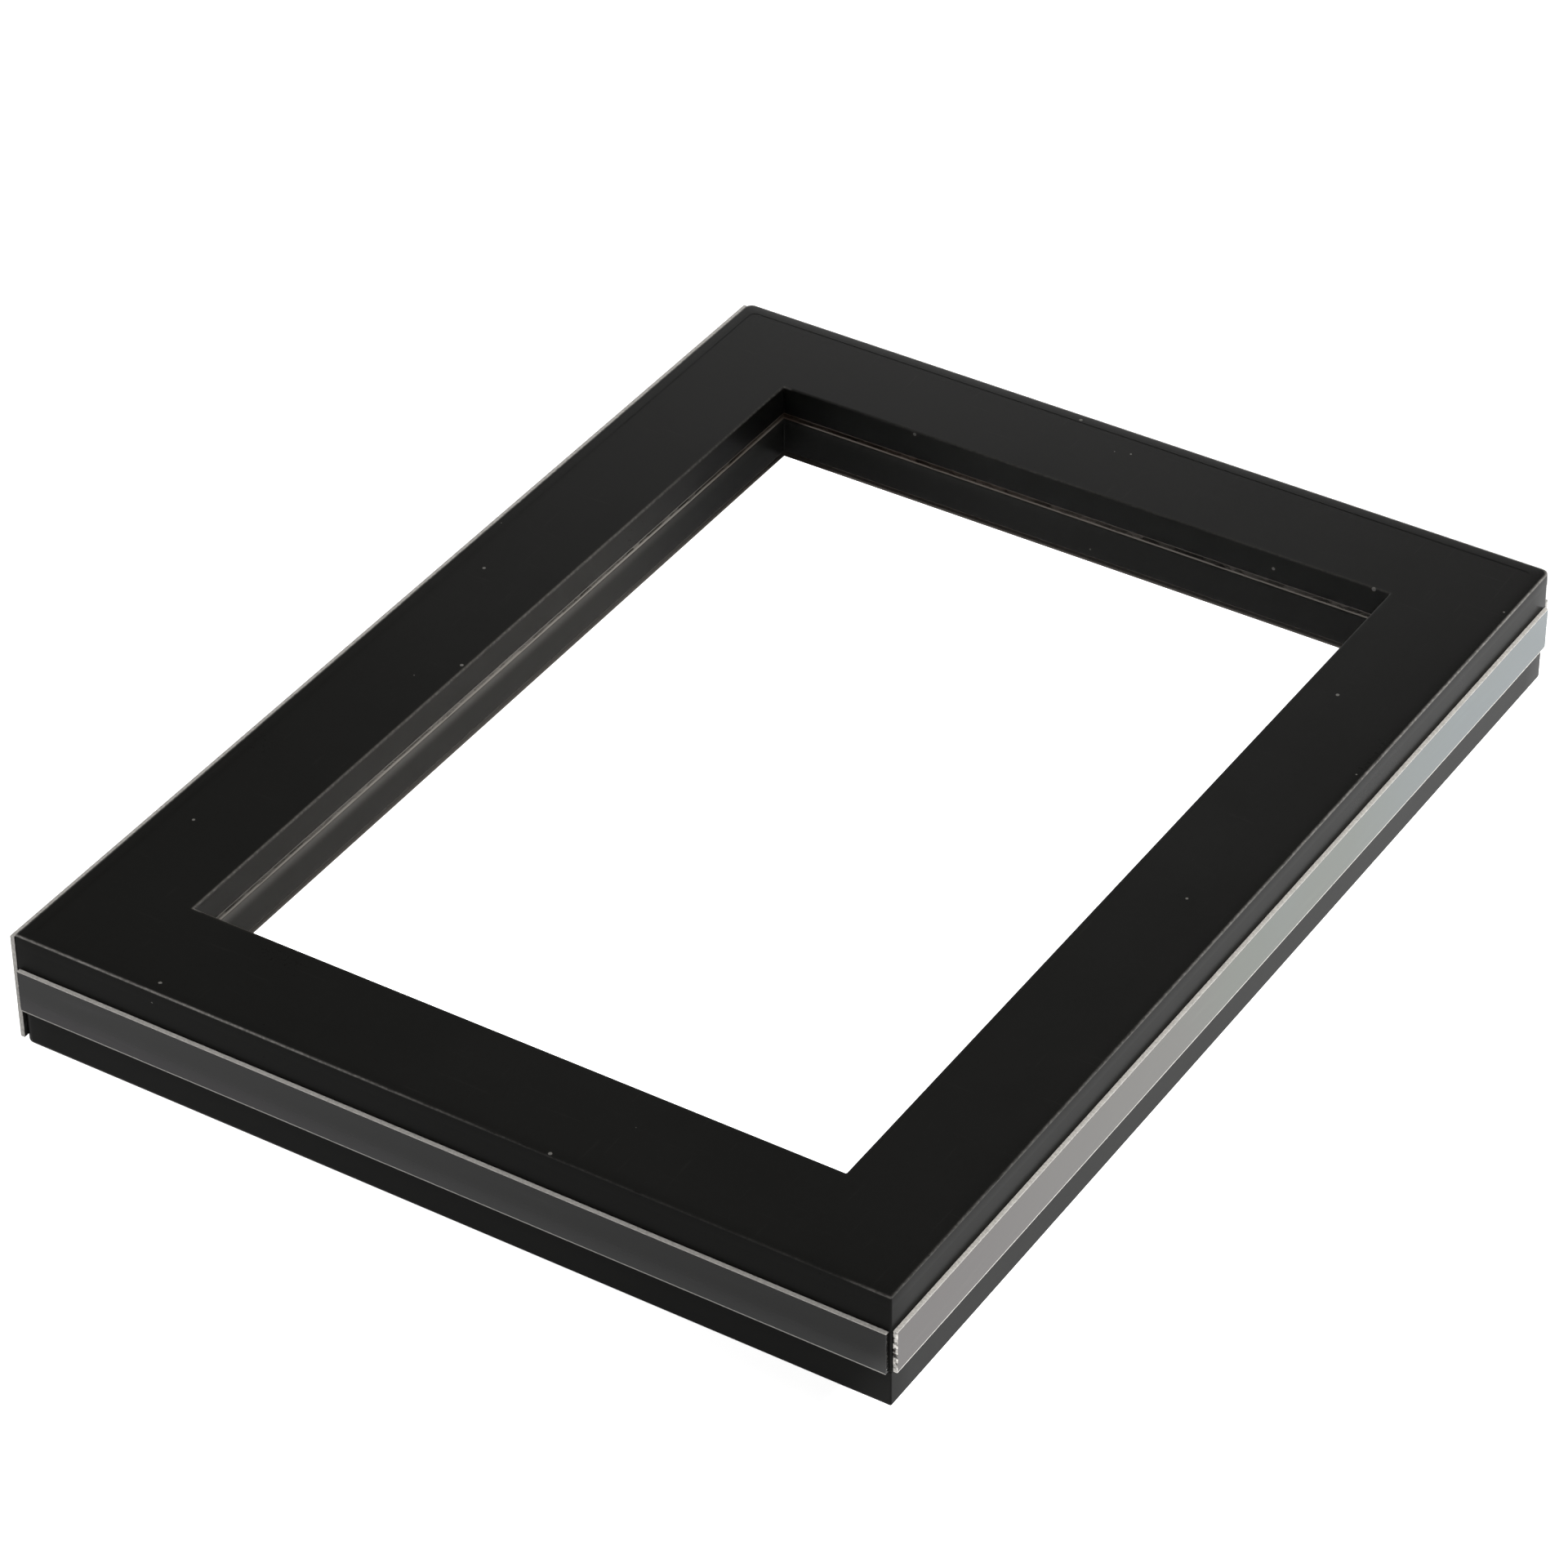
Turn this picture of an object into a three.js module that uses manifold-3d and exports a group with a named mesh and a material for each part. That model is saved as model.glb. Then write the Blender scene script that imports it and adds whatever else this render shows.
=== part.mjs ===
// Floating frame: a black three-layer frame that shows a small object between two clear panes.
// Millimetres, +Z up. The frame lies on its back, with its front face up. The origin is the middle
// of its underside, X runs along the short sides and Y along the long sides.

import * as THREE from "three";
import { mergeVertices } from "three/addons/utils/BufferGeometryUtils.js";
import Module from "manifold-3d";

const manifoldLibrary = await Module();
manifoldLibrary.setup();

// Overall sizes of the black frame, without the clear strips on its sides.
const frameWidth = 150;
const frameLength = 200;
const railWidth = 18.75;
const frontThickness = 6.25;
const coreThickness = 7.5;
const rearThickness = 6.25;
const cornerRadius = 0.5;
const innerCornerRadius = 0.25;
const edgeBreak = 0.25;

// The rear frame has narrower rails, so the core overhangs it and leaves a rebate at the back.
const rearRailWidth = 10;

// Clear panes, let into the front frame and into the core.
const paneThickness = 1;
const paneOverlap = 3.75;
const paneClearance = 0.25;

// The ring that holds the rear pane in the rebate.
const ringThickness = 2;
const ringLap = 2.75;
const ringClearance = 0.125;

// Clear strips on three sides of the core, and the two-leaf clear hinge on the fourth.
const stripThickness = 0.75;
const stripCornerGap = 0.375;
const hingeLeafThickness = 0.75;
const hingeLeafMargin = 0.5;

// Disc magnets that hold the front frame shut, one pair in each corner.
const magnetRadius = 3;
const magnetThickness = 2;
const magnetClearance = 0.25;
const magnetRecess = 0.125;
const magnetWall = 2;

// Countersunk screws that hold the rear frame to the core.
const screwRadius = 1.25;
const screwHeadRadius = 2.5;
const screwHeadHeight = 1.5;
const screwLength = 10;
const screwClearance = 0.125;
const screwRecess = 0.25;
const screwCornerDistance = 37.5;
const crossLength = 2.6;
const crossWidth = 0.5;
const crossDepth = 0.75;

const arcSteps = 4;
const roundSides = 24;
const cutMargin = 1;

// Levels and half sizes that follow from the values above.
const coreBottom = rearThickness;
const partingLevel = coreBottom + coreThickness;
const frameTop = partingLevel + frontThickness;
const openingWidth = frameWidth - 2 * railWidth;
const openingLength = frameLength - 2 * railWidth;
const paneWidth = openingWidth + 2 * paneOverlap;
const paneLength = openingLength + 2 * paneOverlap;
const magnetInset = magnetWall + magnetRadius + magnetClearance;
const screwInset = rearRailWidth / 2;

const blackPlastic = () => plastic(0x161615, 0.42);
const clearPlastic = () => clear(0xdfe2e2);
const nickel = () => metal(0xb9b7b0);
const darkSteel = () => metal(0x4c4c4d);

function plastic(color, roughness) {
  return new THREE.MeshStandardMaterial({ color, roughness, metalness: 0 });
}

function clear(color) {
  const settings = { color, roughness: 0.05, metalness: 0, transparent: true, opacity: 0.3 };
  return new THREE.MeshStandardMaterial(settings);
}

function metal(color) {
  return new THREE.MeshStandardMaterial({ color, roughness: 0.3, metalness: 1 });
}

// Booleans: a closed three.js geometry becomes a solid, and a solid becomes a geometry again.
function toSolid(geometry) {
  const bare = geometry.clone();
  bare.deleteAttribute("normal");
  bare.deleteAttribute("uv");
  const merged = mergeVertices(bare, 1e-5);
  const vertProperties = new Float32Array(merged.attributes.position.array);
  const triVerts = new Uint32Array(merged.index.array);
  const mesh = new manifoldLibrary.Mesh({ numProp: 3, vertProperties, triVerts });
  return new manifoldLibrary.Manifold(mesh);
}

function toGeometry(solid) {
  const mesh = solid.getMesh();
  const geometry = new THREE.BufferGeometry();
  geometry.setAttribute("position", new THREE.BufferAttribute(mesh.vertProperties, 3));
  geometry.setIndex(new THREE.BufferAttribute(mesh.triVerts, 1));
  geometry.computeVertexNormals();
  return geometry;
}

function cut(geometry, cutters) {
  let solid = toSolid(geometry);
  for (const cutter of cutters) {
    solid = solid.subtract(toSolid(cutter));
  }
  return toGeometry(solid);
}

// A rectangle centred on the origin, with its corners rounded to the given radius.
function roundedRectangle(width, length, radius, path = new THREE.Shape()) {
  const x = width / 2 - radius;
  const y = length / 2 - radius;
  path.moveTo(x, -y - radius);
  path.absarc(x, -y, radius, -Math.PI / 2, 0, false);
  path.absarc(x, y, radius, 0, Math.PI / 2, false);
  path.absarc(-x, y, radius, Math.PI / 2, Math.PI, false);
  path.absarc(-x, -y, radius, Math.PI, 1.5 * Math.PI, false);
  path.closePath();
  return path;
}

// A flat frame between two levels, with its edges broken by a small chamfer.
function frameGeometry(rail, bottom, top) {
  const outline = roundedRectangle(frameWidth, frameLength, cornerRadius);
  const width = frameWidth - 2 * rail;
  const length = frameLength - 2 * rail;
  outline.holes.push(roundedRectangle(width, length, innerCornerRadius, new THREE.Path()));
  const geometry = new THREE.ExtrudeGeometry(outline, {
    depth: top - bottom - 2 * edgeBreak,
    curveSegments: arcSteps,
    bevelEnabled: true,
    bevelThickness: edgeBreak,
    bevelSize: edgeBreak,
    bevelOffset: -edgeBreak,
    bevelSegments: 1,
  });
  return geometry.translate(0, 0, bottom + edgeBreak);
}

function boxGeometry(width, length, bottom, top, x = 0, y = 0) {
  const geometry = new THREE.BoxGeometry(width, length, top - bottom);
  return geometry.translate(x, y, (top + bottom) / 2);
}

function discGeometry(radius, bottom, top, x, y) {
  const geometry = new THREE.CylinderGeometry(radius, radius, top - bottom, roundSides);
  return geometry.rotateX(Math.PI / 2).translate(x, y, (top + bottom) / 2);
}

// The four magnet places, named by the corner that each is in.
const magnetPlaces = [];
for (const [endName, endSide] of [["near", -1], ["far", 1]]) {
  for (const [sideName, side] of [["left", -1], ["right", 1]]) {
    const x = side * (frameWidth / 2 - magnetInset);
    const y = endSide * (frameLength / 2 - magnetInset);
    magnetPlaces.push({ name: `${endName}_${sideName}`, x, y });
  }
}

// The screws run down the middle of the rear frame's rails: three along each long rail and two
// along each short one.
const screwPlaces = [];
for (const side of [-1, 1]) {
  const railX = side * (frameWidth / 2 - screwInset);
  const railY = side * (frameLength / 2 - screwInset);
  for (const step of [-1, 0, 1]) {
    screwPlaces.push({ x: railX, y: step * (frameLength / 2 - screwCornerDistance) });
  }
  for (const step of [-1, 1]) {
    screwPlaces.push({ x: step * (frameWidth / 2 - screwCornerDistance), y: railY });
  }
}

// A pocket for a pane, open downwards at the given level and open to the frame's window.
function panePocket(level) {
  const width = paneWidth + 2 * paneClearance;
  const length = paneLength + 2 * paneClearance;
  return boxGeometry(width, length, level - cutMargin, level + paneThickness);
}

function magnetHoles(bottom, top) {
  const radius = magnetRadius + magnetClearance;
  return magnetPlaces.map(({ x, y }) => discGeometry(radius, bottom, top, x, y));
}

const magnetHoleDepth = magnetThickness + magnetRecess;

function frontFrame() {
  const body = frameGeometry(railWidth, partingLevel, frameTop);
  const holes = magnetHoles(partingLevel - cutMargin, partingLevel + magnetHoleDepth);
  return cut(body, [panePocket(partingLevel), ...holes]);
}

function coreFrame() {
  const body = frameGeometry(railWidth, coreBottom, partingLevel);
  const holes = magnetHoles(partingLevel - magnetHoleDepth, partingLevel + cutMargin);
  const threads = screwPlaces.map(({ x, y }) => pilotHole(x, y));
  return cut(body, [panePocket(coreBottom), ...holes, ...threads]);
}

function rearFrame() {
  const body = frameGeometry(rearRailWidth, 0, rearThickness);
  const holes = screwPlaces.map(({ x, y }) => screwHole(x, y));
  return cut(body, holes);
}

function paneGeometry(level) {
  return boxGeometry(paneWidth, paneLength, level, level + paneThickness);
}

// The ring fits inside the rear frame's rails and laps under the edge of the rear pane.
function retainingRing() {
  const width = frameWidth - 2 * (rearRailWidth + ringClearance);
  const length = frameLength - 2 * (rearRailWidth + ringClearance);
  const innerWidth = openingWidth + 2 * ringLap;
  const innerLength = openingLength + 2 * ringLap;
  const outline = roundedRectangle(width, length, innerCornerRadius);
  outline.holes.push(
    roundedRectangle(innerWidth, innerLength, innerCornerRadius, new THREE.Path()),
  );
  const settings = { depth: ringThickness, curveSegments: arcSteps, bevelEnabled: false };
  return new THREE.ExtrudeGeometry(outline, settings).translate(0, 0, coreBottom - ringThickness);
}

// A screw's outline as radius and height: a countersunk head, a shank and a blunt point.
function screwProfile(clearance, length) {
  const shank = screwRadius + clearance;
  const head = screwHeadRadius + clearance;
  return [
    new THREE.Vector2(0, 0),
    new THREE.Vector2(head, 0),
    new THREE.Vector2(shank, screwHeadHeight),
    new THREE.Vector2(shank, length - screwRadius),
    new THREE.Vector2(shank / 2, length),
    new THREE.Vector2(0, length),
  ];
}

function turned(profile, x, y, bottom) {
  const geometry = new THREE.LatheGeometry(profile, roundSides);
  return geometry.rotateX(Math.PI / 2).translate(x, y, bottom);
}

function screwHole(x, y) {
  const profile = [
    new THREE.Vector2(0, -cutMargin),
    new THREE.Vector2(screwHeadRadius + screwClearance, -cutMargin),
    new THREE.Vector2(screwHeadRadius + screwClearance, screwRecess),
    new THREE.Vector2(screwRadius + screwClearance, screwRecess + screwHeadHeight),
    new THREE.Vector2(screwRadius + screwClearance, rearThickness + cutMargin),
    new THREE.Vector2(0, rearThickness + cutMargin),
  ];
  return turned(profile, x, y, 0);
}

function pilotHole(x, y) {
  const top = screwRecess + screwLength + screwClearance;
  return discGeometry(screwRadius + screwClearance, coreBottom - cutMargin, top, x, y);
}

// One screw, its head down and flush in the rear frame, with a cross cut in the head.
function screw(x, y) {
  const top = screwRecess + crossDepth;
  const body = turned(screwProfile(0, screwLength), x, y, screwRecess);
  const slotX = boxGeometry(crossLength, crossWidth, screwRecess - cutMargin, top, x, y);
  const slotY = boxGeometry(crossWidth, crossLength, screwRecess - cutMargin, top, x, y);
  return cut(body, [slotX, slotY]);
}

// A clear strip against one side of the core, as high as the core.
function shortStrip(side) {
  const y = side * (frameLength + stripThickness) / 2;
  const width = frameWidth - 2 * stripCornerGap;
  return boxGeometry(width, stripThickness, coreBottom, partingLevel, 0, y);
}

function longStrip() {
  const x = (frameWidth + stripThickness) / 2;
  const length = frameLength - 2 * stripCornerGap;
  return boxGeometry(stripThickness, length, coreBottom, partingLevel, x, 0);
}

// A leaf of the clear hinge on the left side. The two leaves meet at the parting level, and the
// front frame turns about the line where their outer faces meet.
function hingeLeaf(bottom, top) {
  const x = -(frameWidth + hingeLeafThickness) / 2;
  const length = frameLength - 2 * stripCornerGap;
  return boxGeometry(hingeLeafThickness, length, bottom, top, x, 0);
}

const floatingFrame = new THREE.Group();

function addPart(parent, name, geometry, material) {
  const mesh = new THREE.Mesh(geometry, material);
  mesh.name = name;
  parent.add(mesh);
}

// The base: the rear frame, the core and what is fixed to them.
const base = new THREE.Group();
floatingFrame.add(base);
addPart(base, "rear_frame", rearFrame(), blackPlastic());
addPart(base, "core_frame", coreFrame(), blackPlastic());
addPart(base, "rear_pane", paneGeometry(coreBottom), clearPlastic());
addPart(base, "rear_retaining_ring", retainingRing(), blackPlastic());
addPart(base, "edge_strip_near", shortStrip(-1), clearPlastic());
addPart(base, "edge_strip_far", shortStrip(1), clearPlastic());
addPart(base, "edge_strip_right", longStrip(), clearPlastic());
addPart(base, "rear_hinge_leaf", hingeLeaf(hingeLeafMargin, partingLevel), clearPlastic());

// The front: the frame that lifts like a book cover, with its pane and hinge leaf.
const front = new THREE.Group();
floatingFrame.add(front);
addPart(front, "front_frame", frontFrame(), blackPlastic());
addPart(front, "front_pane", paneGeometry(partingLevel), clearPlastic());
const frontLeafTop = frameTop - hingeLeafMargin;
addPart(front, "front_hinge_leaf", hingeLeaf(partingLevel, frontLeafTop), clearPlastic());

screwPlaces.forEach(({ x, y }, index) => {
  addPart(base, `rear_screw_${index + 1}`, screw(x, y), darkSteel());
});

for (const { name, x, y } of magnetPlaces) {
  const coreTop = partingLevel - magnetRecess;
  const frontBottom = partingLevel + magnetRecess;
  const coreDisc = discGeometry(magnetRadius, coreTop - magnetThickness, coreTop, x, y);
  const frontDisc = discGeometry(magnetRadius, frontBottom, frontBottom + magnetThickness, x, y);
  addPart(base, `core_magnet_${name}`, coreDisc, nickel());
  addPart(front, `front_magnet_${name}`, frontDisc, nickel());
}

export default floatingFrame;
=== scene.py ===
"""The looks of a floating frame: a flat black display frame in three layers with clear panes.

Everything is in metres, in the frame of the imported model: X runs along the short sides, Y along
the long sides, Z up through the thickness. The layers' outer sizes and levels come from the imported
nodes; what the nodes' boxes don't say is a value of the FrameLooks group below.
"""

import math
import typing

import bpy
import numpy as np
from mathutils import Matrix, Vector


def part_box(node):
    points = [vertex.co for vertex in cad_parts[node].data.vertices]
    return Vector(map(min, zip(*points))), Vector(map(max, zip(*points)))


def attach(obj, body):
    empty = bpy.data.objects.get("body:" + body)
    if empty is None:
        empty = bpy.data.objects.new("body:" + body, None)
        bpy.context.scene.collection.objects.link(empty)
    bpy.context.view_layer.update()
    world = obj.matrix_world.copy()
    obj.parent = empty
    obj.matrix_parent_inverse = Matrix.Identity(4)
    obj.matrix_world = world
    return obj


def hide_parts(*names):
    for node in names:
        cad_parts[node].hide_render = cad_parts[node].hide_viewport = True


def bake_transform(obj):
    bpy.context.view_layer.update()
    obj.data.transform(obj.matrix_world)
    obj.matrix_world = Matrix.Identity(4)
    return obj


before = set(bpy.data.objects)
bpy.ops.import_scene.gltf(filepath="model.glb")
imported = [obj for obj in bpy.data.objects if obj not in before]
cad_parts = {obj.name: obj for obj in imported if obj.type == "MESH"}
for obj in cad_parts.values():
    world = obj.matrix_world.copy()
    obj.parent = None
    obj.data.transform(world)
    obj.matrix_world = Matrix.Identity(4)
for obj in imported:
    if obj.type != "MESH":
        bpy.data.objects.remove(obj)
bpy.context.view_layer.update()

bl_info = {
    "name": "Floating Frame",
    "version": (1, 0, 0),
    "blender": (4, 5, 0),
    "location": "View3D > Sidebar > Floating Frame",
    "description": "Builds a floating display frame round its packed model",
    "category": "Object",
}

MM = 0.001

FRONT = "front"
BASE = "base"
CORNERS = ("near_left", "near_right", "far_left", "far_right")
SCREW_COUNT = 10
SHARP_ANGLE = math.radians(35)
RING_LAP = 2.75 * MM


# ---------------------------------------------------------------- sizes and colours to change


def length(name, default, description):
    """A length property in metres, with its default in millimetres."""
    return bpy.props.FloatProperty(
        name=name, description=description, default=default * MM, unit="LENGTH", precision=5
    )


def colour(name, default, description):
    """A colour property."""
    return bpy.props.FloatVectorProperty(
        name=name, description=description, default=default, subtype="COLOR", size=3,
        min=0.0, max=1.0,
    )


def amount(name, default, description):
    """A property from 0 to 1."""
    return bpy.props.FloatProperty(
        name=name, description=description, default=default, subtype="FACTOR", min=0.0, max=1.0
    )


class FrameLooks(bpy.types.PropertyGroup):
    """Sizes of the frame's visible detail, and its colours."""

    rail_width: length("Rail width", 18.75, "Width of the front frame's and the core's rails")
    rear_rail_width: length("Rear rail width", 10.0, "Width of the rear frame's rails")
    crisp_radius: length("Crisp corner radius", 0.25, "Rounding of the two near corners")
    corner_radius: length("Corner radius", 1.2, "Rounding of the right far corner, from above")
    worn_radius: length("Worn corner radius", 1.3, "Rounding of the left far corner, worn softer")
    rear_radius: length("Rear corner radius", 1.5, "Rounding of the rear layer's outer corners")
    window_radius: length("Window corner radius", 0.25, "Rounding of the window's corners")
    edge_radius: length("Edge radius", 0.22, "Rounding of the layers' sharp edges")
    joint_radius: length("Joint radius", 0.08, "Rounding of the outer edges between two layers")
    crown_width: length("Crown width", 2.2, "How far in from the outer edge the top rolls off")
    crown_drop: length("Crown drop", 0.09, "How far the top and side roll off at the edge")
    pane_gap: length("Pane gap", 0.25, "Gap round the edge of a pane in its rebate")
    magnet_gap: length("Magnet gap", 0.25, "Gap round a magnet in its hole")
    strip_air: length("Air behind strips", 0.03, "Thin air film between a clear strip and the core")
    strip_rag: length("Ragged ends", 0.09, "How ragged the cut ends of the strips are")
    strip_short: length("Short end", 1.0, "How far the right strip stops short of the far corner")
    hinge_web: length("Hinge web", 0.12, "Thickness of the hinge's flexing web")
    hinge_near_end: length("Hinge near end", 0.4, "How far the hinge runs on at its near end")
    hinge_reach: length("Hinge web reach", 1.0, "How far the web laps onto each hinge leaf")
    plastic_colour: colour("Black plastic", (0.0055, 0.0055, 0.0051), "Colour of the layers")
    dust_colour: colour("Dust", (0.16, 0.155, 0.145), "Colour of dust specks and hairlines")
    # Pale edges: wear and painted highlight.
    wear_and_highlight_colour: colour("Rubbed edge", (0.6, 0.575, 0.545), "Colour of the layers' rubbed edges")
    # Warm painted light on the hinge side's window wall.
    warm_wall_light_colour: colour("Wall film", (0.7, 0.58, 0.38), "Faint warm film on the hinge side's wall")
    # Glazing tape, and the painted glow on it.
    tape_and_glow_colour: colour("Glazing tape", (1.0, 0.93, 0.84), "Colour of the tape at a pane's margin")
    cut_colour: colour("Cut edge", (0.86, 0.83, 0.78), "Colour of a strip's frosted cut edge")
    nickel_colour: colour("Nickel", (0.62, 0.6, 0.56), "Colour of the magnets' plating")
    zinc_colour: colour("Dark zinc", (0.16, 0.16, 0.165), "Colour of the screws' plating")
    floor_colour: colour("Floor", (0.3, 0.3, 0.3), "Colour of the studio floor, apart from its glow")
    gloss: amount("Plastic roughness", 0.3, "Mean roughness of the black plastic")
    floor_glow: bpy.props.FloatProperty(
        name="Floor glow", description="Light that the white floor gives by itself", default=0.78
    )


# ---------------------------------------------------------------- profiles and swept surfaces


def rounded_outline(corners, radii, steps=7, support=(0.06 * MM, 0.22 * MM)):
    """A closed polygon with each corner rounded, as an array of (u, z) points.

    At a corner P with unit directions a and b to its neighbours and half angle h between them,
    the arc has centre P + r / sin(h) along the bisector and meets the sides r / tan(h) from P.
    Its points are (sin((1-k)w) s + sin(k w) e) / sin(w), where s and e are the arc's end radii,
    w the angle between them and k runs from 0 to 1. Two more points on each side, a little past
    the arc, keep the flat faces flat when they are shaded smooth.
    """
    points = np.asarray(corners, float)
    radius = np.broadcast_to(np.asarray(radii, float), len(points))[:, None]
    before = np.roll(points, 1, axis=0) - points
    after = np.roll(points, -1, axis=0) - points
    before /= np.linalg.norm(before, axis=1, keepdims=True)
    after /= np.linalg.norm(after, axis=1, keepdims=True)
    half = np.arccos(np.clip((before * after).sum(1, keepdims=True), -1, 1)) / 2
    bisector = before + after
    bisector /= np.linalg.norm(bisector, axis=1, keepdims=True)
    reach = radius / np.tan(half)
    centre = points + bisector * radius / np.sin(half)
    start = points + before * reach - centre
    end = points + after * reach - centre
    turn = np.pi - 2 * half
    k = np.linspace(0, 1, steps)[None, :, None]
    turned, first, last = turn[:, None], start[:, None], end[:, None]
    arc = (np.sin((1 - k) * turned) * first + np.sin(k * turned) * last) / np.sin(turned)
    arc = arc + centre[:, None]
    past = np.asarray(support)[None, :, None]
    lead_in = points[:, None] + before[:, None] * (reach[:, None] + past[:, ::-1])
    lead_out = points[:, None] + after[:, None] * (reach[:, None] + past)
    return np.concatenate([lead_in, arc, lead_out], axis=1).reshape(-1, 2)


def inset_loops(profile, half_width, half_length, radii, corner_steps=7, side_steps=40):
    """Carries a profile round a rectangle: an array of points, one row for each profile point.

    A profile point (u, z) goes round the rectangle with half sizes (half_width - u) and
    (half_length - u), whose corners are arcs of its own radius r: at angle t a corner's point is
    (half_width - u - r + r cos t, half_length - u - r + r sin t), mirrored into each quarter.
    Straight runs are cut into equal steps, from one corner's end to the next corner's start.
    radii holds one radius for each profile point, or four: far right, far left, near left and
    near right.
    """
    u = profile[:, 0][:, None, None]
    columns = radii if np.ndim(radii) == 2 else np.reshape(radii, (-1, 1))
    radius = np.broadcast_to(columns, (len(profile), 4))[:, :, None]
    quarter = np.arange(4)[None, :, None]
    t = quarter * np.pi / 2 + np.linspace(0, np.pi / 2, corner_steps)[None, None, :]
    sign_x = np.array([1, -1, -1, 1])[None, :, None]
    sign_y = np.array([1, 1, -1, -1])[None, :, None]
    x = sign_x * (half_width - u - radius) + radius * np.cos(t)
    y = sign_y * (half_length - u - radius) + radius * np.sin(t)
    arcs = np.stack([x, y], axis=-1)
    k = (np.arange(1, side_steps) / side_steps)[None, None, :, None]
    ends = arcs[:, :, -1:, :]
    starts = np.roll(arcs, -1, axis=1)[:, :, :1, :]
    runs = ends * (1 - k) + starts * k
    loops = np.concatenate([arcs, runs], axis=2).reshape(len(profile), -1, 2)
    z = np.broadcast_to(profile[:, 1][:, None, None], loops.shape[:2] + (1,))
    return np.concatenate([loops, z], axis=-1)


def grid_faces(rows, columns, wrap_rows):
    """Quads of a grid of points whose columns close on themselves, and its rows too if asked."""
    row = np.arange(rows if wrap_rows else rows - 1)[:, None]
    column = np.arange(columns)[None, :]
    next_row = (row + 1) % rows
    next_column = (column + 1) % columns
    quads = np.stack(
        [
            row * columns + column,
            row * columns + next_column,
            next_row * columns + next_column,
            next_row * columns + column,
        ],
        axis=-1,
    )
    return quads.reshape(-1, 4)


def surface_object(name, points, quads, caps=(), values=None):
    """A closed mesh object from points, quads and flat end caps, with smooth shading.

    Quads and caps are turned round together if the surface would enclose a negative volume.
    values maps attribute names to one number for each point.
    """
    flat = points.reshape(-1, 3)
    faces = [list(map(int, q)) for q in quads]
    faces += [list(map(int, c)) for c in caps]
    mesh = bpy.data.meshes.new(name)
    mesh.from_pydata(flat.tolist(), [], faces)
    mesh.validate()
    for key, numbers in (values or {}).items():
        layer = mesh.attributes.new(key, "FLOAT", "POINT")
        layer.data.foreach_set("value", np.asarray(numbers, np.float32).reshape(-1))
    turn_outwards(mesh)
    mesh.shade_smooth()
    mesh.set_sharp_from_angle(angle=SHARP_ANGLE)
    piece = bpy.data.objects.new(name, mesh)
    bpy.context.scene.collection.objects.link(piece)
    return piece


def turn_outwards(mesh):
    """Flips every face if the sum of a . (b x c) over the mesh's triangles is negative."""
    mesh.calc_loop_triangles()
    corners = np.empty(len(mesh.loop_triangles) * 3, np.int32)
    mesh.loop_triangles.foreach_get("vertices", corners)
    places = np.empty(len(mesh.vertices) * 3, np.float32)
    mesh.vertices.foreach_get("co", places)
    a, b, c = places.reshape(-1, 3)[corners.reshape(-1, 3)].transpose(1, 0, 2).astype(float)
    if np.einsum("ij,ij->i", a, np.cross(b, c)).sum() < 0:
        mesh.flip_normals()


def ripple(points, scale, seed):
    """A smooth unevenness between about -1 and 1: the mean of five sines whose directions and
    phases come from the seed, with wavelengths from one to a third of the scale."""
    rng = np.random.default_rng(seed)
    direction = rng.normal(size=(5, points.shape[-1]))
    direction /= np.linalg.norm(direction, axis=1, keepdims=True)
    pitch = 2 * np.pi / scale * np.linspace(1, 3, 5)
    phase = rng.uniform(0, 2 * np.pi, 5)
    waves = np.sin(points @ (direction * pitch[:, None]).T + phase)
    return waves.mean(axis=-1)


def layer_profile(rail, bottom, top, edge, rebate=None, outer=None):
    """The cross-section of a flat layer's rail, with an optional rebate (width, depth) cut in
    the lower inner corner: its corners as (u, z), u measured inwards from the outer face. outer
    gives the lower and upper outer edge a radius of their own."""
    if rebate is None:
        corners = [(0, bottom), (0, top), (rail, top), (rail, bottom)]
    else:
        wide, deep = rebate
        corners = [
            (0, bottom), (0, top), (rail, top), (rail, bottom + deep),
            (rail - wide, bottom + deep), (rail - wide, bottom),
        ]
    radii = np.full(len(corners), edge)
    if outer is not None:
        radii[:2] = outer
    return rounded_outline(corners, radii)


def crown(profile, top, width, drop):
    """Rolls the outer top edge off softly: near the edge the top falls by drop (1 - u / width)^2
    and the side draws in by drop (1 - d / width)^2, where d is the depth below the top."""
    u, z = profile[:, 0].copy(), profile[:, 1].copy()
    near_side = np.clip(1 - u / width, 0, 1) ** 2
    near_top = np.clip(1 - (top - z) / width, 0, 1) ** 2
    on_top = np.clip(1 - (top - z) / (0.4 * width), 0, 1)
    on_side = np.clip(1 - u / (0.4 * width), 0, 1)
    z -= drop * near_side * on_top
    u += drop * near_top * on_side
    return np.stack([u, z], axis=-1)


def with_crown_points(profile, top, width):
    """Adds points along the top's outer stretch and the side's upper stretch, so that the crown
    bends smoothly: eight on each, closer together near the edge."""
    k = np.linspace(0.12, 1, 8) ** 1.6
    side = np.stack([np.zeros(8), top - width * k[::-1]], axis=-1)
    flat = np.stack([width * k, np.full(8, top)], axis=-1)
    corner = np.argmax((profile[:, 1] > top - 1e-9) & (profile[:, 0] > 0))
    first_arc = np.argmax(profile[:, 1] > top - width * k[0])
    return np.concatenate(
        [profile[:first_arc], side, profile[first_arc:corner + 2], flat, profile[corner + 2:]]
    )


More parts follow.
